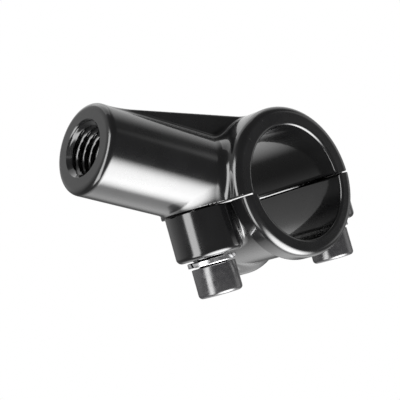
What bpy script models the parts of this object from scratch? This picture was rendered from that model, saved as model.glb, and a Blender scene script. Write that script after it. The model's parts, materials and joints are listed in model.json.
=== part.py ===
"""Split tube clamp with a threaded barrel boss: a stanchion base for a one inch rail.

The body is one casting: the upper half of a split ring, a barrel boss that leaves it at a
slant, and a web over the barrel. The clamp cap is the lower half of the ring, with a round
lug on each side. Two socket head screws, each on a spring lock washer, draw the cap up.

Frame: metres, +Z up. The origin is on the clamp bore's axis, level with the screws. +Y runs
along the bore, -X points towards the barrel boss, and the split plane is Z = 0.
"""
import math

import bpy
from mathutils import Matrix, Vector

MM = 0.001

# Driving dimensions
BORE_R = 12.7 * MM            # one inch tube
RING_LENGTH = 27.4 * MM
RING_MIDDLE = 1.0 * MM        # where its mid-length is along the bore
BODY_RING_R = 17.2 * MM
CAP_RIM_R = 16.4 * MM
CAP_WAIST_R = 14.7 * MM
CAP_SHIFT = 0.9 * MM          # the cap's half ring and bore sit this far off the body's, to +X
CAP_RISE = 0.4 * MM           # and this far up
SPLIT_GAP = 0.3 * MM
BORE_CHAMFER = 0.7 * MM
BODY_RING_EDGE = 1.8 * MM     # rounding of the outer rims
CAP_RING_EDGE = 2.0 * MM

BARREL_TILT = math.radians(22.0)
BARREL_R = 9.5 * MM
BARREL_END = 46.2 * MM        # from the bore's axis to the end face
BARREL_EDGE = 1.5 * MM
WEB_THICKNESS = 10.4 * MM
WEB_TOP_R = 16.4 * MM         # the line of the web's top touches this circle about the bore
WEB_END_RISE = 7.6 * MM       # its height over the barrel's axis at the barrel's end

SOCKET_R = 5.35 * MM          # mean radius of a 12 mm thread of 1.5 mm pitch
SOCKET_MOUTH_R = 6.0 * MM
SOCKET_DEPTH = 18.0 * MM
SOCKET_DRILL_POINT = 3.2 * MM

SCREW_X = 18.0 * MM
SHANK_R = 3.1 * MM            # 1/4 inch socket head cap screw
HEAD_R = 4.76 * MM
HEAD_HEIGHT = 6.35 * MM
HEAD_EDGE = 0.5 * MM
HEX_FLATS = 4.76 * MM
HEX_DEPTH = 3.2 * MM
SHANK_LENGTH = 19.05 * MM
TAPPED_R = 3.45 * MM
TAPPED_TOP = 9.2 * MM
CLEARANCE_R = 3.5 * MM

LUG_R = 7.3 * MM
CAP_LUG_BOTTOM = -10.1 * MM
BODY_LUG_TOP = 7.8 * MM
LUG_EDGE = 1.2 * MM

WASHER_R = 5.3 * MM
WASHER_BORE_R = 3.5 * MM
WASHER_THICKNESS = 1.2 * MM
WASHER_CUT = 0.8 * MM         # width of the spring washer's slanted cut
WASHER_CUT_SLANT = math.radians(25)
WASHER_CUT_HEADING = math.radians(-6)

CONTACT_GAP = 0.3 * MM        # between pieces that bear on each other
OVERRUN = 2.0 * MM            # how far a cutter runs past what it cuts

ROUND_STEPS = 64
FINE_STEPS = 40

# Worked out from the driving dimensions
HALF_LENGTH = RING_LENGTH / 2
HALF_GAP = SPLIT_GAP / 2
WASHER_TOP = CAP_LUG_BOTTOM - CONTACT_GAP
HEAD_TOP = WASHER_TOP - WASHER_THICKNESS - CONTACT_GAP
BARREL_DIR = Vector((-math.cos(BARREL_TILT), 0, math.sin(BARREL_TILT)))
BARREL_UP = Vector((math.sin(BARREL_TILT), 0, math.cos(BARREL_TILT)))

PARTS_NAME = "stanchion_base"
CUTTERS_NAME = "cutters"


def clear_scene():
    for obj in list(bpy.data.objects):
        bpy.data.objects.remove(obj, do_unlink=True)


def make_collection(name):
    collection = bpy.data.collections.new(name)
    bpy.context.scene.collection.children.link(collection)
    return collection


def move_to(obj, collection):
    for old in list(obj.users_collection):
        old.objects.unlink(obj)
    collection.objects.link(obj)
    return obj


def make_material(name, colour, roughness, metallic):
    material = bpy.data.materials.new(name)
    material.use_nodes = True
    shader = material.node_tree.nodes["Principled BSDF"]
    shader.inputs["Base Color"].default_value = (*colour, 1)
    shader.inputs["Roughness"].default_value = roughness
    shader.inputs["Metallic"].default_value = metallic
    return material


def along(direction):
    """Rotation that turns local +Z to a direction."""
    return Vector((0, 0, 1)).rotation_difference(Vector(direction)).to_euler()


def evaluated_mesh(obj):
    """A plain mesh copy of an object with its modifiers applied."""
    graph = bpy.context.evaluated_depsgraph_get()
    return bpy.data.meshes.new_from_object(obj.evaluated_get(graph), depsgraph=graph)


def turned(name, profile, at, direction, steps=ROUND_STEPS, closed=False):
    """Solid turned about a line: (radius, height) pairs run down the outer side."""
    points = [(r, 0, h) for r, h in profile]
    edges = [(i, i + 1) for i in range(len(points) - 1)]
    if closed:
        edges.append((len(points) - 1, 0))
    mesh = bpy.data.meshes.new(name)
    mesh.from_pydata(points, edges, [])
    obj = bpy.data.objects.new(name, mesh)
    bpy.context.scene.collection.objects.link(obj)
    screw = obj.modifiers.new("turn", "SCREW")
    screw.steps = steps
    screw.render_steps = steps
    screw.use_merge_vertices = True
    screw.merge_threshold = 0.00001
    solid = evaluated_mesh(obj)
    obj.modifiers.clear()
    obj.data = solid
    obj.location = at
    obj.rotation_euler = along(direction)
    return obj


def rounded_step(radius, height, edge, turn_down=True, steps=3):
    """Profile points of a rounded outer edge, as (radius, height) pairs, top to bottom."""
    pairs = []
    for i in range(steps + 1):
        angle = math.pi / 2 * i / steps
        if turn_down:
            pairs.append((radius - edge + edge * math.sin(angle), height - edge + edge * math.cos(angle)))
        else:
            pairs.append((radius - edge + edge * math.cos(angle), height + edge - edge * math.sin(angle)))
    return pairs


def cylinder(name, radius, low, high, at, direction, steps=ROUND_STEPS):
    """Plain cylinder between two heights along a direction from a point."""
    unit = Vector(direction).normalized()
    centre = Vector(at) + unit * (low + high) / 2
    bpy.ops.mesh.primitive_cylinder_add(vertices=steps, radius=radius, depth=high - low,
                                        location=centre, rotation=along(unit))
    obj = bpy.context.object
    obj.name = name
    return obj


def box(name, low, high):
    size = Vector(high) - Vector(low)
    bpy.ops.mesh.primitive_cube_add(size=1, location=(Vector(low) + Vector(high)) / 2)
    obj = bpy.context.object
    obj.name = name
    obj.data.transform(Matrix.Diagonal((*size, 1)))
    return obj


def boolean(target, tool, operation):
    modifier = target.modifiers.new(tool.name, "BOOLEAN")
    modifier.operation = operation
    modifier.solver = "EXACT"
    modifier.object = tool
    tool.hide_render = True
    tool.display_type = "WIRE"
    move_to(tool, cutters)


def half_ring(name, outer, centre):
    """Solid turned about the bore's axis from its outer side's (radius, height) pairs."""
    return turned(name, [(0, HALF_LENGTH)] + outer + [(0, -HALF_LENGTH)], centre, (0, 1, 0), 96)


def make_bore(name, centre):
    """Cutter for the tube's bore, with a chamfer at each end."""
    flare = BORE_R + BORE_CHAMFER + OVERRUN
    profile = [
        (0, HALF_LENGTH + OVERRUN),
        (flare, HALF_LENGTH + OVERRUN),
        (BORE_R, HALF_LENGTH - BORE_CHAMFER),
        (BORE_R, -HALF_LENGTH + BORE_CHAMFER),
        (flare, -HALF_LENGTH - OVERRUN),
        (0, -HALF_LENGTH - OVERRUN),
    ]
    return turned(name, profile, centre, (0, 1, 0), 96)


def half_space(name, above):
    """Box over everything on one side of the split."""
    reach = 80 * MM
    if above:
        return box(name, (-reach, -reach, HALF_GAP), (reach, reach, reach))
    return box(name, (-reach, -reach, -reach), (reach, reach, -HALF_GAP))


def barrel_point(distance, rise):
    """Point in the X-Z plane at a distance along the barrel's axis and a rise above it."""
    return BARREL_DIR * distance + BARREL_UP * rise


def web_outline():
    """Web's side view: from the ring's top to the top of the barrel's end, and back inside."""
    end_top = barrel_point(BARREL_END - 1.2 * BARREL_EDGE, WEB_END_RISE)
    reach = math.hypot(end_top.x, end_top.z)
    to_end = math.atan2(end_top.z, end_top.x)
    tangent_angle = to_end - math.acos(WEB_TOP_R / reach)
    ring_top = WEB_TOP_R * Vector((math.cos(tangent_angle), 0, math.sin(tangent_angle)))
    inner_end = barrel_point(BARREL_END - 1.2 * BARREL_EDGE, 0)
    inner_ring = Vector((ring_top.x, 0, BORE_R * 0.5))
    return [ring_top, end_top, inner_end, inner_ring]


def make_web():
    """Flat plate over the barrel, extruded from its outline."""
    curve = bpy.data.curves.new("web", "CURVE")
    curve.dimensions = "2D"
    curve.fill_mode = "BOTH"
    curve.extrude = WEB_THICKNESS / 2
    outline = web_outline()
    spline = curve.splines.new("POLY")
    spline.points.add(len(outline) - 1)
    for point, place in zip(spline.points, outline):
        point.co = (place.x, place.z, 0, 1)
    spline.use_cyclic_u = True
    drawing = bpy.data.objects.new("web_outline", curve)
    bpy.context.scene.collection.objects.link(drawing)
    drawing.rotation_euler = (math.pi / 2, 0, 0)
    bpy.context.view_layer.update()
    mesh = evaluated_mesh(drawing)
    web = bpy.data.objects.new("web", mesh)
    web.matrix_world = drawing.matrix_world
    bpy.context.scene.collection.objects.link(web)
    bpy.data.objects.remove(drawing, do_unlink=True)
    weld = web.modifiers.new("weld", "WELD")
    weld.merge_threshold = 0.00001
    return web


def make_body():
    outer = rounded_step(BODY_RING_R, HALF_LENGTH, BODY_RING_EDGE)
    outer += rounded_step(BODY_RING_R, -HALF_LENGTH, BODY_RING_EDGE, turn_down=False)
    body = half_ring("clamp_body", outer, (0, RING_MIDDLE, 0))

    profile = [(0, BARREL_END)] + rounded_step(BARREL_R, BARREL_END, BARREL_EDGE) + [(BARREL_R, 0), (0, 0)]
    barrel = turned("barrel", profile, (0, 0, 0), BARREL_DIR)
    lug = [(0, BODY_LUG_TOP)] + rounded_step(LUG_R, BODY_LUG_TOP, LUG_EDGE) + [(LUG_R, 0), (0, 0)]
    boolean(body, barrel, "UNION")
    boolean(body, make_web(), "UNION")
    for side, x in (("left", -SCREW_X), ("right", SCREW_X)):
        boolean(body, turned(side + "_body_lug", lug, (x, 0, 0), (0, 0, 1)), "UNION")
    boolean(body, half_space("above_split", True), "INTERSECT")
    boolean(body, make_bore("body_bore", (0, RING_MIDDLE, 0)), "DIFFERENCE")
    for side, x in (("left", -SCREW_X), ("right", SCREW_X)):
        top = TAPPED_TOP if x < 0 else BODY_LUG_TOP + OVERRUN
        hole = cylinder(side + "_tapped_hole", TAPPED_R, -OVERRUN, top, (x, 0, 0), (0, 0, 1), FINE_STEPS)
        boolean(body, hole, "DIFFERENCE")
    boolean(body, make_socket(), "DIFFERENCE")
    return body


def make_socket():
    """Cutter for the barrel's blind socket: countersunk mouth, plain wall and drill point."""
    countersink = SOCKET_MOUTH_R - SOCKET_R
    profile = [
        (0, BARREL_END + OVERRUN),
        (SOCKET_MOUTH_R + OVERRUN, BARREL_END + OVERRUN),
        (SOCKET_R, BARREL_END - countersink),
        (SOCKET_R, BARREL_END - SOCKET_DEPTH),
        (0, BARREL_END - SOCKET_DEPTH - SOCKET_DRILL_POINT),
    ]
    return turned("socket", profile, (0, 0, 0), BARREL_DIR)


def make_cap():
    """Lower half ring: a rim at each end, a waist between them, and a lug on each side."""
    rim_in = 4.3 * MM
    slope = 1.2 * MM
    outer = rounded_step(CAP_RIM_R, HALF_LENGTH, CAP_RING_EDGE)
    outer += [
        (CAP_RIM_R, HALF_LENGTH - rim_in),
        (CAP_WAIST_R, HALF_LENGTH - rim_in - 2 * slope),
        (CAP_WAIST_R, -HALF_LENGTH + rim_in + slope),
        (CAP_RIM_R, -HALF_LENGTH + rim_in),
    ]
    outer += rounded_step(CAP_RIM_R, -HALF_LENGTH, CAP_RING_EDGE, turn_down=False)
    centre = (CAP_SHIFT, RING_MIDDLE, CAP_RISE)
    cap = half_ring("clamp_cap", outer, centre)
    lug = [(0, 0), (LUG_R, 0)]
    lug += rounded_step(LUG_R, CAP_LUG_BOTTOM, LUG_EDGE, turn_down=False) + [(0, CAP_LUG_BOTTOM)]
    for side, x in (("left", -SCREW_X), ("right", SCREW_X)):
        boolean(cap, turned(side + "_cap_lug", lug, (x, 0, 0), (0, 0, 1)), "UNION")
    boolean(cap, half_space("below_split", False), "INTERSECT")
    boolean(cap, make_bore("cap_bore", centre), "DIFFERENCE")
    for side, x in (("left", -SCREW_X), ("right", SCREW_X)):
        hole = cylinder(side + "_clearance_hole", CLEARANCE_R, CAP_LUG_BOTTOM - OVERRUN, OVERRUN,
                        (x, 0, 0), (0, 0, 1), FINE_STEPS)
        boolean(cap, hole, "DIFFERENCE")
    return cap


def make_screw(name, x):
    """Socket head cap screw, head down, with its origin on its own axis under the head."""
    tip = SHANK_LENGTH
    profile = [
        (0, tip),
        (SHANK_R - 0.6 * MM, tip),
        (SHANK_R, tip - 0.6 * MM),
        (SHANK_R, 0),
        (HEAD_R, 0),
    ]
    profile += rounded_step(HEAD_R, -HEAD_HEIGHT, HEAD_EDGE, turn_down=False)
    profile.append((0, -HEAD_HEIGHT))
    screw = turned(name, profile, (x, 0, HEAD_TOP), (0, 0, 1), 48)
    key = cylinder(name + "_key", HEX_FLATS / math.sqrt(3), -HEAD_HEIGHT - OVERRUN,
                   -HEAD_HEIGHT + HEX_DEPTH, (x, 0, HEAD_TOP), (0, 0, 1), 6)
    boolean(screw, key, "DIFFERENCE")
    return screw


def make_washer(name, x):
    """Spring lock washer: a square-section ring with one slanted cut, outboard."""
    profile = [
        (WASHER_R, 0),
        (WASHER_R, -WASHER_THICKNESS),
        (WASHER_BORE_R, -WASHER_THICKNESS),
        (WASHER_BORE_R, 0),
    ]
    washer = turned(name, profile, (x, 0, WASHER_TOP), (0, 0, 1), FINE_STEPS, closed=True)
    cut = box(name + "_cut", (0, -WASHER_CUT / 2, -OVERRUN), (WASHER_R + OVERRUN, WASHER_CUT / 2, OVERRUN))
    heading = WASHER_CUT_HEADING if x > 0 else math.pi + WASHER_CUT_HEADING
    cut.rotation_euler = (WASHER_CUT_SLANT, 0, heading)
    cut.location = (x, 0, WASHER_TOP - WASHER_THICKNESS / 2)
    boolean(washer, cut, "DIFFERENCE")
    return washer


def finish(obj, material):
    obj.data.materials.clear()
    obj.data.materials.append(material)
    obj.data.shade_smooth()
    obj.data.set_sharp_from_angle(angle=math.radians(35))
    move_to(obj, parts)


clear_scene()
parts = make_collection(PARTS_NAME)
cutters = make_collection(CUTTERS_NAME)

gloss_black = make_material("gloss_black_coat", (0.018, 0.018, 0.02), 0.22, 0.6)
black_screw = make_material("black_screw", (0.03, 0.03, 0.032), 0.3, 0.8)
bright_steel = make_material("bright_steel", (0.62, 0.62, 0.62), 0.22, 1.0)

finish(make_body(), gloss_black)
finish(make_cap(), gloss_black)
for side, x in (("left", -SCREW_X), ("right", SCREW_X)):
    finish(make_screw(side + "_screw", x), black_screw)
    finish(make_washer(side + "_lock_washer", x), bright_steel)
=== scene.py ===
"""The looks of a stanchion base: a gloss black split tube clamp with a threaded barrel boss.

The clamp's two castings are modelled as distance fields, in millimetres, because every joint
between their ring, barrel, web and lugs is a cast fillet. A surface net turns a field into a
mesh, and the field then gives each point's exact place and normal. The screws are turned
meshes with real threads, and the lock washers are swept.

Frame: metres, +Z up. The origin is on the clamp bore's axis, level with the screws. +Y runs
along the bore, -X points towards the barrel boss, and the split plane is Z = 0.
"""

import json
import math

import bpy
import numpy as np
from mathutils import Matrix, Vector


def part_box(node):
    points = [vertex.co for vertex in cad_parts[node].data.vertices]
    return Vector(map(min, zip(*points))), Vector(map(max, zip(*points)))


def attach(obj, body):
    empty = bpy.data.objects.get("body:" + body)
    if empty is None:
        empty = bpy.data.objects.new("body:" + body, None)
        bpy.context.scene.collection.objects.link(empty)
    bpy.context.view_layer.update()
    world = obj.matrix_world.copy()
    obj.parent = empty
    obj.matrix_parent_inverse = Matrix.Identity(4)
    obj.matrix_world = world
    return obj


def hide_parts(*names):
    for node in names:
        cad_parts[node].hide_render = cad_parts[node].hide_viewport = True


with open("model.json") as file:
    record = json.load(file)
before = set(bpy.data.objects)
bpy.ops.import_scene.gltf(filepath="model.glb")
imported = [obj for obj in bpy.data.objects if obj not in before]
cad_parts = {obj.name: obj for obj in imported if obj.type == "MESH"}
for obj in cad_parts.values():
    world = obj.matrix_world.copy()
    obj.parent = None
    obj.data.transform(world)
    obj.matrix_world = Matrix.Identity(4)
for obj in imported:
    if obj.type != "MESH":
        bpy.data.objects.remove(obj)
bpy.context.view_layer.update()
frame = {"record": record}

MM = 0.001


# ---------------------------------------------------------------- sizes, in millimetres

def box_mm(node):
    low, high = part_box(node)
    return np.array(low) / MM, np.array(high) / MM


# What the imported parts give
body_low, body_high = box_mm("clamp_body")
cap_low, cap_high = box_mm("clamp_cap")
screw_low, screw_high = box_mm("right_screw")
washer_low, washer_high = box_mm("right_lock_washer")
end_face = next(m for m in frame["record"]["mounts"] if m["name"] == "barrel_end_face")

HALF_LENGTH = (cap_high[1] - cap_low[1]) / 2
RING_MIDDLE = (cap_high[1] + cap_low[1]) / 2     # the ring's mid-length, along the bore
HALF_GAP = -cap_high[2]                    # half of the split between body and cap
SCREW_X = (screw_low[0] + screw_high[0]) / 2
CONTACT_GAP = 0.3                          # between a washer's face and its lug's
LUG_BOTTOM = washer_high[2] + CONTACT_GAP
BARREL_X, BARREL_Z = end_face["axis"][0], end_face["axis"][2]     # the barrel's direction
BARREL_END = (end_face["pos_m"][0] * BARREL_X + end_face["pos_m"][2] * BARREL_Z) / MM

# The castings
BORE_R = 12.7
BORE_EDGE = 0.7
BODY_RING_R = 17.2
BODY_RING_EDGE = 1.8
CAP_RIM_R = 16.4
CAP_WAIST_R = 14.7
CAP_SHIFT = 0.9               # the cap's half ring and bore sit this far off the body's, to +X
CAP_RISE = 0.4                # and this far up
CAP_EDGE = 1.7
FRONT_RIM_WIDTH = 4.6
REAR_RIM_WIDTH = 4.2
BARREL_R = 9.5
BARREL_EDGE = 1.5
BARREL_FILLET = 2.2
WEB_THICKNESS = 10.4
WEB_TOP_R = 16.4              # the line of the web's top touches this circle about the bore
WEB_END_RISE = 7.6            # its height over the barrel's axis at the barrel's end
WEB_EDGE = 0.5
WEB_FILLET = 0.6
LUG_R = 7.3
LUG_EDGE = 1.2
LUG_FILLET = 1.4
BODY_LUG_TOP = 7.8
SPLIT_EDGE = 0.12
HOLE_EDGE = 0.3
CLEARANCE_R = 3.5
TAPPED_R = 3.45
TAPPED_TOP = 9.2

# The socket: a thread of about 12 mm
SOCKET_MINOR_R = 4.95
SOCKET_MAJOR_R = 5.75
SOCKET_PITCH = 1.5
SOCKET_MOUTH_R = 6.0
SOCKET_DEPTH = 18.0
SOCKET_DRILL_POINT = 3.2

# The 1/4-20 screws and their washers
HEAD_R = 4.76
HEAD_HEIGHT = 6.35
HEAD_BOTTOM_EDGE = 0.85
HEAD_TOP_EDGE = 0.2
HEX_FLATS = 4.76
HEX_DEPTH = 3.2
SHANK_LENGTH = screw_high[2] - screw_low[2] - HEAD_HEIGHT
SHANK_R = 3.1
SHANK_ROOT_R = 2.5
SHANK_PITCH = 25.4 / 20
WASHER_R = 5.3
WASHER_BORE_R = 3.5
WASHER_EDGE = 0.16
WASHER_RISE = 0.12            # how far the spring washer's cut ends still stand apart
WASHER_CUT = 0.8
WASHER_CUT_SLANT = math.radians(25)
WASHER_CUT_HEADING = math.radians(-6)

NET_STEP = 0.3                # cell of the castings' surface net


# ---------------------------------------------------------------- distance fields

def rod(radial, axial, radius, half, edge):
    """Round rod with rounded ends, from the distances off its axis and from its middle."""
    out = radial - (radius - edge)
    over = np.abs(axial) - (half - edge)
    outside = np.hypot(np.maximum(out, 0), np.maximum(over, 0))
    return np.minimum(np.maximum(out, over), 0) + outside - edge


def join(a, b, fillet):
    """Both shapes, with a fillet of that radius where they meet."""
    outside = np.maximum(fillet, np.minimum(a, b))
    return outside - np.hypot(np.maximum(fillet - a, 0), np.maximum(fillet - b, 0))


def keep(a, b, edge):
    """What lies in both shapes, with an edge of that radius where they cross."""
    return np.minimum(-edge, np.maximum(a, b)) + np.hypot(np.maximum(edge + a, 0), np.maximum(edge + b, 0))


def web_field(x, y, z):
    """Flat plate over the barrel, whose top runs from the ring's top to the barrel's end."""
    end_along = BARREL_END - 1.2 * BARREL_EDGE
    end_x = BARREL_X * end_along + BARREL_Z * WEB_END_RISE
    end_z = BARREL_Z * end_along - BARREL_X * WEB_END_RISE
    turn = math.acos(WEB_TOP_R / math.hypot(end_x, end_z))
    normal = math.atan2(end_z, end_x) - turn
    top_x, top_z = math.cos(normal), math.sin(normal)
    under_top = x * top_x + z * top_z - WEB_TOP_R
    past_ring = x * top_z - z * top_x
    along = x * BARREL_X + z * BARREL_Z
    rise = x * BARREL_Z - z * BARREL_X
    shape = keep(under_top, np.abs(y) - WEB_THICKNESS / 2, WEB_EDGE)
    shape = keep(shape, along - end_along, WEB_EDGE)
    return np.maximum(np.maximum(shape, past_ring), -rise)


def body_field(x, y, z):
    radial = np.hypot(x, z)
    along = x * BARREL_X + z * BARREL_Z
    rise = x * BARREL_Z - z * BARREL_X
    shape = rod(radial, y - RING_MIDDLE, BODY_RING_R, HALF_LENGTH, BODY_RING_EDGE)
    barrel = rod(np.hypot(rise, y), along - BARREL_END / 2, BARREL_R, BARREL_END / 2, BARREL_EDGE)
    shape = join(shape, barrel, BARREL_FILLET)
    shape = join(shape, web_field(x, y, z), WEB_FILLET)
    for centre in (-SCREW_X, SCREW_X):
        lug = rod(np.hypot(x - centre, y), z, LUG_R, BODY_LUG_TOP, LUG_EDGE)
        shape = join(shape, lug, LUG_FILLET)
    shape = keep(shape, HALF_GAP - z, SPLIT_EDGE)
    shape = keep(shape, BORE_R - radial, BORE_EDGE)
    for centre, top in ((-SCREW_X, TAPPED_TOP), (SCREW_X, 2 * BODY_LUG_TOP)):
        hole = rod(np.hypot(x - centre, y), z, TAPPED_R, top, HOLE_EDGE)
        shape = keep(shape, -hole, HOLE_EDGE)
    return shape


def smooth_step(value, start, end):
    share = np.clip((value - start) / (end - start), 0, 1)
    return share * share * (3 - 2 * share)


def cap_field(x, y, z):
    radial = np.hypot(x - CAP_SHIFT, z - CAP_RISE)
    along = y - RING_MIDDLE
    front = smooth_step(along, -HALF_LENGTH + FRONT_RIM_WIDTH + 1.6, -HALF_LENGTH + FRONT_RIM_WIDTH)
    rear = smooth_step(along, HALF_LENGTH - REAR_RIM_WIDTH - 3.6, HALF_LENGTH - REAR_RIM_WIDTH)
    radius = CAP_WAIST_R + (CAP_RIM_R - CAP_WAIST_R) * (front + rear)
    shape = keep(radial - radius, np.abs(along) - HALF_LENGTH, CAP_EDGE)
    for centre in (-SCREW_X, SCREW_X):
        lug = rod(np.hypot(x - centre, y), z, LUG_R, -LUG_BOTTOM, LUG_EDGE)
        shape = join(shape, lug, LUG_FILLET)
    shape = keep(shape, z + HALF_GAP, SPLIT_EDGE)
    shape = keep(shape, BORE_R - radial, BORE_EDGE)
    for centre in (-SCREW_X, SCREW_X):
        shape = keep(shape, CLEARANCE_R - np.hypot(x - centre, y), HOLE_EDGE)
    return shape


# ---------------------------------------------------------------- meshes

def surface_net(field, low, high, step):
    """Points and quads of a field's zero surface: a point in each crossed cell of a grid."""
    axes = [np.arange(low[i] - 2 * step, high[i] + 3 * step, step) for i in range(3)]
    values = field(*np.meshgrid(*axes, indexing="ij", sparse=True))
    inside = values < 0
    count = sum(
        inside[a:a - 1 or None, b:b - 1 or None, c:c - 1 or None].astype(np.int8)
        for a in (0, 1) for b in (0, 1) for c in (0, 1)
    )
    crossed = (count > 0) & (count < 8)
    number = np.full(crossed.shape, -1)
    number[crossed] = np.arange(crossed.sum())
    cells = np.argwhere(crossed)

    total = np.zeros((len(cells), 3))
    hits = np.zeros(len(cells))
    for axis in range(3):
        sides = [i for i in range(3) if i != axis]
        for a, b in ((0, 0), (0, 1), (1, 0), (1, 1)):
            start = cells.copy()
            start[:, sides] += (a, b)
            end = start.copy()
            end[:, axis] += 1
            v0, v1 = values[tuple(start.T)], values[tuple(end.T)]
            hit = (v0 < 0) != (v1 < 0)
            place = start.astype(float)
            place[:, axis] += np.where(hit, v0 / np.where(hit, v0 - v1, 1), 0)
            total += place * hit[:, None]
            hits += hit
    points = np.array([a[0] for a in axes]) + step * total / hits[:, None]

    quads = []
    for axis in range(3):
        u, v = (axis + 1) % 3, (axis + 2) % 3
        first = np.take(inside, range(inside.shape[axis] - 1), axis)
        second = np.take(inside, range(1, inside.shape[axis]), axis)
        edges = np.argwhere(first != second)
        around = []
        for du, dv in ((-1, -1), (0, -1), (0, 0), (-1, 0)):
            cell = edges.copy()
            cell[:, u] += du
            cell[:, v] += dv
            around.append(number[tuple(cell.T)])
        faces = np.stack(around, axis=1)
        backward = ~first[tuple(edges.T)]
        faces[backward] = faces[backward, ::-1]
        quads.append(faces)
    return points, np.concatenate(quads)


def gradient(field, points, reach=0.01):
    """Direction in which a field grows fastest at each point, of length 1."""
    slope = np.empty_like(points)
    for axis in range(3):
        ahead, behind = points.copy(), points.copy()
        ahead[:, axis] += reach
        behind[:, axis] -= reach
        slope[:, axis] = field(*ahead.T) - field(*behind.T)
    return slope / np.maximum(np.linalg.norm(slope, axis=1), 1e-9)[:, None]


def settle(field, points, rounds=4):
    """Moves points onto a field's zero surface."""
    for _ in range(rounds):
        points = points - gradient(field, points) * field(*points.T)[:, None]
    return points


def new_object(name, points, faces):
    """Smooth mesh object from points in millimetres."""
    mesh = bpy.data.meshes.new(name)
    mesh.from_pydata((np.asarray(points) * MM).tolist(), [], np.asarray(faces, dtype=object).tolist())
    mesh.shade_smooth()
    obj = bpy.data.objects.new(name, mesh)
    bpy.context.scene.collection.objects.link(obj)
    return obj


def evaluated_mesh(obj):
    graph = bpy.context.evaluated_depsgraph_get()
    return bpy.data.meshes.new_from_object(obj.evaluated_get(graph), depsgraph=graph)


def boolean(target, tool, solver):
    """Cuts a tool from a target for good, and removes the tool."""
    modifier = target.modifiers.new("cut", "BOOLEAN")
    modifier.operation = "DIFFERENCE"
    modifier.solver = solver
    modifier.object = tool
    mesh = evaluated_mesh(target)
    target.modifiers.clear()
    target.data = mesh
    bpy.data.objects.remove(tool, do_unlink=True)


def field_normals(obj, field):
    """Gives each corner that lies on a field's surface the field's own normal."""
    mesh = obj.data
    points = np.empty(len(mesh.vertices) * 3)
    mesh.vertices.foreach_get("co", points)
    points = points.reshape(-1, 3) / MM
    exact = gradient(field, points)
    on_surface = np.abs(field(*points.T)) < 0.02
    corners = np.empty(len(mesh.loops), np.int32)
    mesh.loops.foreach_get("vertex_index", corners)
    current = np.empty(len(mesh.loops) * 3)
    mesh.corner_normals.foreach_get("vector", current)
    current = current.reshape(-1, 3)
    agrees = np.einsum("ij,ij->i", current, exact[corners]) > 0.8
    use = on_surface[corners] & agrees
    mesh.normals_split_custom_set(np.where(use[:, None], exact[corners], current).tolist())


def casting(name, field, low, high):
    points, faces = surface_net(field, low, high, NET_STEP)
    return new_object(name, settle(field, points), faces)


def turned_grid(radii, heights, steps):
    """Points and faces of a closed turned shape: radii[i] is one number or one for each step."""
    angles = np.arange(steps) * 2 * math.pi / steps
    rows = []
    for radius, height in zip(radii, heights):
        ring = np.empty((steps, 3))
        ring[:, 0] = radius * np.cos(angles)
        ring[:, 1] = radius * np.sin(angles)
        ring[:, 2] = height
        rows.append(ring)
    points = np.concatenate(rows)
    across = np.arange(steps)
    beside = (across + 1) % steps
    faces = []
    for i in range(len(rows) - 1):
        a, b = i * steps, (i + 1) * steps
        faces += np.stack([a + across, a + beside, b + beside, b + across], axis=1).tolist()
    faces.append(list(reversed(range(steps))))
    faces.append(list(range(len(points) - steps, len(points))))
    return points, faces


def arc(radius, height, edge, start, end, steps=6):
    """Points (radius, height) of a rounded edge about a centre, between two angles in degrees."""
    angles = np.radians(np.linspace(start, end, steps + 1))
    return [(radius + edge * math.cos(a), height + edge * math.sin(a)) for a in angles]


def thread_wave(angle, height, pitch):
    """0 at a thread's root and 1 at its crest, with narrow flats on both."""
    turns = height / pitch - angle / (2 * math.pi)
    wave = 1 - np.abs(2 * (turns - np.floor(turns)) - 1)
    return np.clip(wave * 1.35 - 0.12, 0, 1)


# ---------------------------------------------------------------- pieces

def socket_tool():
    """What the tap and the countersink take out of the barrel, along its own axis."""
    steps = 80
    angles = np.arange(steps) * 2 * math.pi / steps
    start = BARREL_END - SOCKET_DEPTH
    heights = np.arange(start, BARREL_END + 0.6, SOCKET_PITCH / 16)
    radii = []
    for height in heights:
        crest = thread_wave(angles, height, SOCKET_PITCH)
        thread = SOCKET_MINOR_R + (SOCKET_MAJOR_R - SOCKET_MINOR_R) * crest
        radii.append(np.maximum(thread, SOCKET_MOUTH_R - (BARREL_END - height)))
    radii.insert(0, 0.2)
    heights = np.insert(heights, 0, start - SOCKET_DRILL_POINT)
    points, faces = turned_grid(radii, heights, steps)
    tool = new_object("socket_tool", points, faces)
    direction = Vector((BARREL_X, 0, BARREL_Z))
    tool.data.transform(Vector((0, 0, 1)).rotation_difference(direction).to_matrix().to_4x4())
    return tool


def make_body():
    body = casting("body_casting", body_field, body_low, body_high)
    boolean(body, socket_tool(), "MANIFOLD")
    body.data.shade_smooth()
    body.data.set_sharp_from_angle(angle=math.radians(40))
    field_normals(body, body_field)
    return body


def make_cap():
    cap = casting("cap_casting", cap_field, cap_low, cap_high)
    field_normals(cap, cap_field)
    return cap


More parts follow.
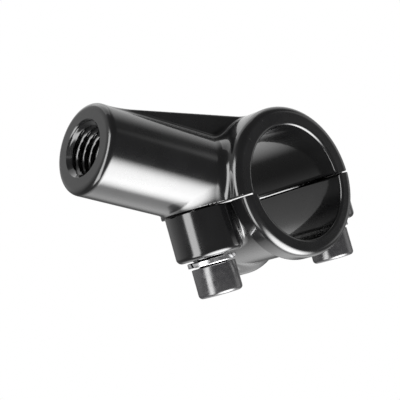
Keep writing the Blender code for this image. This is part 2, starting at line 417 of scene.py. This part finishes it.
def make_screw(name, x):
    """Socket head cap screw, head down: a turned head and a threaded shank in one mesh."""
    steps = 72
    angles = np.arange(steps) * 2 * math.pi / steps
    head_top = screw_low[2] + HEAD_HEIGHT
    inner = HEAD_R - HEAD_BOTTOM_EDGE
    profile = arc(inner, screw_low[2] + HEAD_BOTTOM_EDGE, HEAD_BOTTOM_EDGE, -90, 0)
    profile += arc(HEAD_R - HEAD_TOP_EDGE, head_top - HEAD_TOP_EDGE, HEAD_TOP_EDGE, 0, 90, 3)
    profile += [(SHANK_R + 0.25, head_top), (SHANK_ROOT_R, head_top + 0.3)]
    radii = [r for r, h in profile]
    heights = [h for r, h in profile]
    start, end = head_top + 1.0, head_top + SHANK_LENGTH
    for height in np.arange(start, end, SHANK_PITCH / 12):
        crest = thread_wave(angles, height, SHANK_PITCH)
        point = SHANK_ROOT_R - 0.1 + (end - height)
        thread = SHANK_ROOT_R + (SHANK_R - SHANK_ROOT_R) * crest
        radii.append(np.minimum(thread, point))
        heights.append(height)
    radii.append(SHANK_ROOT_R - 0.1)
    heights.append(end)
    points, faces = turned_grid(radii, heights, steps)
    screw = new_object(name, points + (x, 0, 0), faces)

    bpy.ops.mesh.primitive_cylinder_add(vertices=6, radius=HEX_FLATS / math.sqrt(3) * MM,
                                        depth=2 * HEX_DEPTH * MM,
                                        location=(x * MM, 0, screw_low[2] * MM))
    boolean(screw, bpy.context.object, "EXACT")
    bpy.ops.mesh.primitive_cone_add(vertices=48, radius1=(HEX_FLATS / math.sqrt(3) + 0.5) * MM, radius2=0,
                                    depth=(HEX_FLATS / math.sqrt(3) + 0.5) * MM,
                                    location=(x * MM, 0, (screw_low[2] + HEX_FLATS / math.sqrt(3) / 2) * MM))
    boolean(screw, bpy.context.object, "EXACT")
    screw.data.shade_smooth()
    screw.data.set_sharp_from_angle(angle=math.radians(32))
    return screw


def make_washer(name, x):
    """Split spring washer: a rounded square section swept round, a little higher at one end."""
    rise = WASHER_RISE / 2
    low, high = washer_low[2], washer_high[2]
    middle, half = (low + high) / 2, (high - low) / 2 - rise
    corners = [
        (WASHER_R, half, 0),
        (WASHER_BORE_R, half, 90),
        (WASHER_BORE_R, -half, 180),
        (WASHER_R, -half, 270),
    ]
    section = []
    for radius, height, turn in corners:
        at_radius = radius - WASHER_EDGE if radius > WASHER_BORE_R else radius + WASHER_EDGE
        at_height = height - math.copysign(WASHER_EDGE, height)
        section += arc(at_radius, at_height, WASHER_EDGE, turn, turn + 90, 3)
    gap = WASHER_CUT / WASHER_R / 2
    heading = WASHER_CUT_HEADING if x > 0 else math.pi + WASHER_CUT_HEADING
    stations = 96
    points = []
    for i in range(stations + 1):
        share = i / stations
        angle = heading + gap + share * (2 * math.pi - 2 * gap)
        for radius, height in section:
            slanted = angle - height * math.tan(WASHER_CUT_SLANT) / radius
            lift = middle + height + rise * (2 * share - 1)
            points.append((x + radius * math.cos(slanted), radius * math.sin(slanted), lift))
    count = len(section)
    faces = []
    for i in range(stations):
        for j in range(count):
            k = (j + 1) % count
            faces.append([i * count + j, (i + 1) * count + j, (i + 1) * count + k, i * count + k])
    faces.append(list(range(count)))
    faces.append([stations * count + j for j in reversed(range(count))])
    washer = new_object(name, points, faces)
    washer.data.set_sharp_from_angle(angle=math.radians(50))
    return washer


# ---------------------------------------------------------------- materials

def new_material(name, colour, roughness, metallic):
    material = bpy.data.materials.new(name)
    material.use_nodes = True
    shader = material.node_tree.nodes["Principled BSDF"]
    shader.inputs["Base Color"].default_value = (*colour, 1)
    shader.inputs["Roughness"].default_value = roughness
    shader.inputs["Metallic"].default_value = metallic
    return material, shader


def add(material, kind, **inputs):
    """New node in a material, with sockets set by name: a value, or another node's output."""
    tree = material.node_tree
    node = tree.nodes.new(kind)
    link_in(tree, node, inputs)
    return node


def link_in(tree, node, inputs):
    for name, value in inputs.items():
        socket = node.inputs[name.replace("_", " ")]
        if isinstance(value, bpy.types.NodeSocket):
            tree.links.new(value, socket)
        else:
            socket.default_value = value


def noise(material, size, detail=3.0, roughness=0.5, stretch=(1, 1, 1)):
    """Noise whose blotches are about that size in millimetres."""
    place = add(material, "ShaderNodeTexCoord")
    mapping = add(material, "ShaderNodeMapping", Vector=place.outputs["Object"], Scale=stretch)
    node = add(material, "ShaderNodeTexNoise", Vector=mapping.outputs["Vector"],
               Scale=1 / (size * MM), Detail=detail, Roughness=roughness)
    return node.outputs["Fac"]


def spread(material, value, from_low, from_high, to_low, to_high):
    node = add(material, "ShaderNodeMapRange", Value=value, From_Min=from_low, From_Max=from_high,
               To_Min=to_low, To_Max=to_high)
    return node.outputs["Result"]


def times(material, a, b):
    node = add(material, "ShaderNodeMath")
    node.operation = "MULTIPLY"
    link_in(material.node_tree, node, {})
    for socket, value in zip(node.inputs, (a, b)):
        if isinstance(value, bpy.types.NodeSocket):
            material.node_tree.links.new(value, socket)
        else:
            socket.default_value = value
    return node.outputs["Value"]


def edges(material, low, high):
    """0 on flat stretches and 1 on convex edges."""
    geometry = add(material, "ShaderNodeNewGeometry")
    return spread(material, geometry.outputs["Pointiness"], low, high, 0, 1)


def bump(material, layers):
    """Stacked bump layers: (height socket, depth in micrometres)."""
    normal = None
    for height, depth in layers:
        node = add(material, "ShaderNodeBump", Height=height, Distance=depth * MM * MM, Strength=1.0)
        if normal is not None:
            material.node_tree.links.new(normal, node.inputs["Normal"])
        normal = node.outputs["Normal"]
    return normal


def mated_faces(material):
    """0 on the dull faces at the split, where the halves meet, and 1 everywhere else."""
    place = add(material, "ShaderNodeTexCoord")
    parts = add(material, "ShaderNodeSeparateXYZ", Vector=place.outputs["Object"])
    height = material.node_tree.nodes.new("ShaderNodeMath")
    height.operation = "ABSOLUTE"
    material.node_tree.links.new(parts.outputs["Z"], height.inputs[0])
    limit = (HALF_GAP + SPLIT_EDGE) * MM
    return spread(material, height.outputs["Value"], 0.7 * limit, limit, 0, 1)


def mix_colour(material, factor, first, second):
    node = material.node_tree.nodes.new("ShaderNodeMix")
    node.data_type = "RGBA"
    for socket, value in zip((node.inputs[0], node.inputs[6], node.inputs[7]), (factor, first, second)):
        if isinstance(value, bpy.types.NodeSocket):
            material.node_tree.links.new(value, socket)
        else:
            socket.default_value = value if isinstance(value, float) else (*value, 1)
    return node.outputs[2]


def gloss_black():
    """Gloss black finish on the castings: orange peel, faint haze, thin spots on the edges."""
    material, shader = new_material("gloss_black_coat", (0.012, 0.012, 0.013), 0.3, 0.0)
    haze = noise(material, 6.0, 4.0)
    peel = noise(material, 0.9, 2.0, 0.4)
    ripple = noise(material, 5.0, 1.0)
    spots = spread(material, noise(material, 0.7, 5.0), 0.6, 0.7, 0, 1)
    worn = times(material, edges(material, 0.62, 0.72), spots)
    colour = mix_colour(material, haze, (0.0025, 0.0025, 0.0027), (0.0045, 0.0045, 0.0048))
    colour = mix_colour(material, worn, colour, (0.03, 0.029, 0.028))
    link_in(material.node_tree, shader, {
        "Base Color": colour,
        "Roughness": spread(material, haze, 0.3, 0.7, 0.22, 0.34),
        "Normal": bump(material, [(ripple, 14.0), (peel, 2.6)]),
        "Coat Normal": bump(material, [(ripple, 14.0), (peel, 2.2)]),
        "Coat Weight": mated_faces(material),
    })
    shader.inputs["Specular IOR Level"].default_value = 0.2
    shader.inputs["Coat Roughness"].default_value = 0.06
    shader.inputs["Coat IOR"].default_value = 1.55
    return material


def black_screw():
    """Black oxide on the screws: darker and tighter than the castings, bare steel at the edges."""
    material, shader = new_material("black_screw", (0.02, 0.02, 0.022), 0.22, 0.0)
    mottle = noise(material, 1.2, 5.0)
    grain = noise(material, 0.25, 3.0)
    spots = spread(material, noise(material, 0.5, 4.0), 0.55, 0.68, 0, 1)
    worn = times(material, edges(material, 0.58, 0.68), spots)
    colour = mix_colour(material, mottle, (0.014, 0.014, 0.016), (0.034, 0.033, 0.034))
    colour = mix_colour(material, worn, colour, (0.22, 0.215, 0.21))
    link_in(material.node_tree, shader, {
        "Base Color": colour,
        "Roughness": spread(material, mottle, 0.3, 0.7, 0.16, 0.3),
        "Normal": bump(material, [(mottle, 2.0), (grain, 0.5)]),
    })
    shader.inputs["IOR"].default_value = 1.9
    return material


def bright_steel():
    """Plated spring steel: fine draw lines round the washer and small dull spots."""
    material, shader = new_material("bright_steel", (0.75, 0.75, 0.76), 0.2, 1.0)
    lines = noise(material, 1.4, 3.0, 0.6, (1, 1, 9))
    dull = noise(material, 0.8, 4.0)
    colour = mix_colour(material, dull, (0.62, 0.62, 0.63), (0.86, 0.86, 0.87))
    link_in(material.node_tree, shader, {
        "Base Color": colour,
        "Roughness": spread(material, dull, 0.3, 0.7, 0.14, 0.32),
        "Normal": bump(material, [(lines, 4.0)]),
    })
    return material


# ---------------------------------------------------------------- studio

CAMERA_AZIMUTH = math.radians(-41.7)
CAMERA_ELEVATION = math.radians(-2.75)
CAMERA_ROLL = math.radians(15.7)
CAMERA_AIM = (-9.13, 8.50, 2.54)
CAMERA_DISTANCE = 265.0
LENS = 108.2                  # on a 36 mm sensor


def camera_axes():
    """Right, up and towards the camera, as unit vectors of the frame."""
    back = Vector((math.sin(CAMERA_AZIMUTH) * math.cos(CAMERA_ELEVATION),
                   -math.cos(CAMERA_AZIMUTH) * math.cos(CAMERA_ELEVATION),
                   math.sin(CAMERA_ELEVATION)))
    level_right = Vector((math.cos(CAMERA_AZIMUTH), math.sin(CAMERA_AZIMUTH), 0))
    level_up = back.cross(level_right)
    right = level_right * math.cos(CAMERA_ROLL) - level_up * math.sin(CAMERA_ROLL)
    return right, back.cross(right), back


def make_camera():
    right, up, back = camera_axes()
    data = bpy.data.cameras.new("camera")
    data.lens = LENS
    data.sensor_width = 36
    data.clip_start, data.clip_end = 0.01, 10
    camera = bpy.data.objects.new("camera", data)
    bpy.context.scene.collection.objects.link(camera)
    turn = Matrix((right, up, back)).transposed().to_4x4()
    place = (Vector(CAMERA_AIM) + back * CAMERA_DISTANCE) * MM
    camera.matrix_world = Matrix.Translation(place) @ turn
    bpy.context.scene.camera = camera


class World:
    """Studio light by direction. Azimuth and elevation are seen from the camera's place."""

    def __init__(self):
        world = bpy.data.worlds.new("studio")
        bpy.context.scene.world = world
        world.use_nodes = True
        self.tree = world.node_tree
        self.tree.nodes.clear()
        self.direction = self.node("ShaderNodeTexCoord").outputs["Generated"]

    def node(self, kind, **inputs):
        node = self.tree.nodes.new(kind)
        link_in(self.tree, node, inputs)
        return node

    def math(self, operation, a, b):
        node = self.tree.nodes.new("ShaderNodeMath")
        node.operation = operation
        for socket, value in zip(node.inputs, (a, b)):
            if isinstance(value, bpy.types.NodeSocket):
                self.tree.links.new(value, socket)
            else:
                socket.default_value = value
        return node.outputs["Value"]

    def towards(self, vector):
        """Cosine between the light's direction and a vector."""
        node = self.tree.nodes.new("ShaderNodeVectorMath")
        node.operation = "DOT_PRODUCT"
        self.tree.links.new(self.direction, node.inputs[0])
        node.inputs[1].default_value = vector
        return node.outputs["Value"]

    def ramp(self, value, start, end):
        """Smooth step from 0 at start to 1 at end."""
        node = self.node("ShaderNodeMapRange")
        node.interpolation_type = "SMOOTHSTEP"
        self.tree.links.new(value, node.inputs["Value"])
        low, high, first, last = (start, end, 0, 1) if start < end else (end, start, 1, 0)
        for name, number in (("From Min", low), ("From Max", high), ("To Min", first), ("To Max", last)):
            node.inputs[name].default_value = number
        return node.outputs["Result"]

    def lobe(self, azimuth, elevation, full, none, power):
        """Round soft light: full strength within one angle of its centre, nothing past another."""
        cosine = self.towards(studio_direction(azimuth, elevation))
        share = self.ramp(cosine, math.cos(math.radians(none)), math.cos(math.radians(full)))
        return self.math("MULTIPLY", share, power)

    def strip(self, azimuth, half_width, soft, low, high, power):
        """Upright strip light between two elevations."""
        side = self.towards(studio_direction(azimuth + 90, 0))
        off_side = self.math("ABSOLUTE", side, 0)
        inside = math.sin(math.radians(half_width))
        outside = math.sin(math.radians(half_width + soft))
        share = self.ramp(off_side, outside, inside)
        share = self.math("MULTIPLY", share, self.ramp(self.towards(studio_direction(azimuth, 0)), 0, 0.2))
        height = self.towards(camera_axes()[1])
        low, high = math.sin(math.radians(low)), math.sin(math.radians(high))
        share = self.math("MULTIPLY", share, self.ramp(height, low - 0.15, low))
        share = self.math("MULTIPLY", share, self.ramp(height, high + 0.15, high))
        return self.math("MULTIPLY", share, power)


def studio_direction(azimuth, elevation):
    """Direction by degrees to the camera's right of the camera itself, and above its horizon."""
    right, up, back = camera_axes()
    turn, lift = math.radians(azimuth), math.radians(elevation)
    return (right * math.sin(turn) + back * math.cos(turn)) * math.cos(lift) + up * math.sin(lift)


def make_world():
    world = World()
    total = 0.16
    for light in (
        world.lobe(60, -50, 10, 40, 17),
        world.lobe(180, 35, 15, 50, 0.9),
        world.lobe(-110, 20, 15, 60, 0.6),
        world.strip(-42, 8, 9, -45, 35, 9),
        world.strip(112, 10, 12, -5, 30, 0.8),
        world.lobe(150, -60, 15, 45, 1.6),
    ):
        total = world.math("ADD", light, total)
    light = world.node("ShaderNodeBackground", Strength=total)
    backdrop = world.node("ShaderNodeBackground", Color=(1, 1, 1, 1), Strength=1.0)
    seen = world.node("ShaderNodeLightPath").outputs["Is Camera Ray"]
    mix = world.node("ShaderNodeMixShader", Fac=seen)
    world.tree.links.new(light.outputs[0], mix.inputs[1])
    world.tree.links.new(backdrop.outputs[0], mix.inputs[2])
    world.node("ShaderNodeOutputWorld", Surface=mix.outputs[0])


def make_top_light():
    """Large soft light overhead, for the upper sides."""
    data = bpy.data.lights.new("top_light", "AREA")
    data.shape = "SQUARE"
    data.size = 0.5
    data.energy = 0.6
    light = bpy.data.objects.new("top_light", data)
    bpy.context.scene.collection.objects.link(light)
    place = Vector((0.1, 0.15, 0.6))
    light.matrix_world = Matrix.Translation(place) @ place.to_track_quat("Z", "Y").to_matrix().to_4x4()
    light.visible_camera = False


def dress(obj, node, body, material):
    """Puts a piece in place of its CAD part, on that part's body."""
    obj.data.materials.clear()
    obj.data.materials.append(material)
    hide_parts(node)
    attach(obj, body)


black = gloss_black()
screw_black = black_screw()
steel = bright_steel()

dress(make_body(), "clamp_body", "body", black)
dress(make_cap(), "clamp_cap", "cap", black)
for side, x in (("left", -SCREW_X), ("right", SCREW_X)):
    dress(make_screw(side + "_cap_screw", x), side + "_screw", side + "_screw", screw_black)
    dress(make_washer(side + "_spring_washer", x), side + "_lock_washer", "cap", steel)

make_camera()
make_world()
make_top_light()
bpy.context.scene.view_settings.view_transform = "Standard"
bpy.context.scene.view_settings.look = "None"
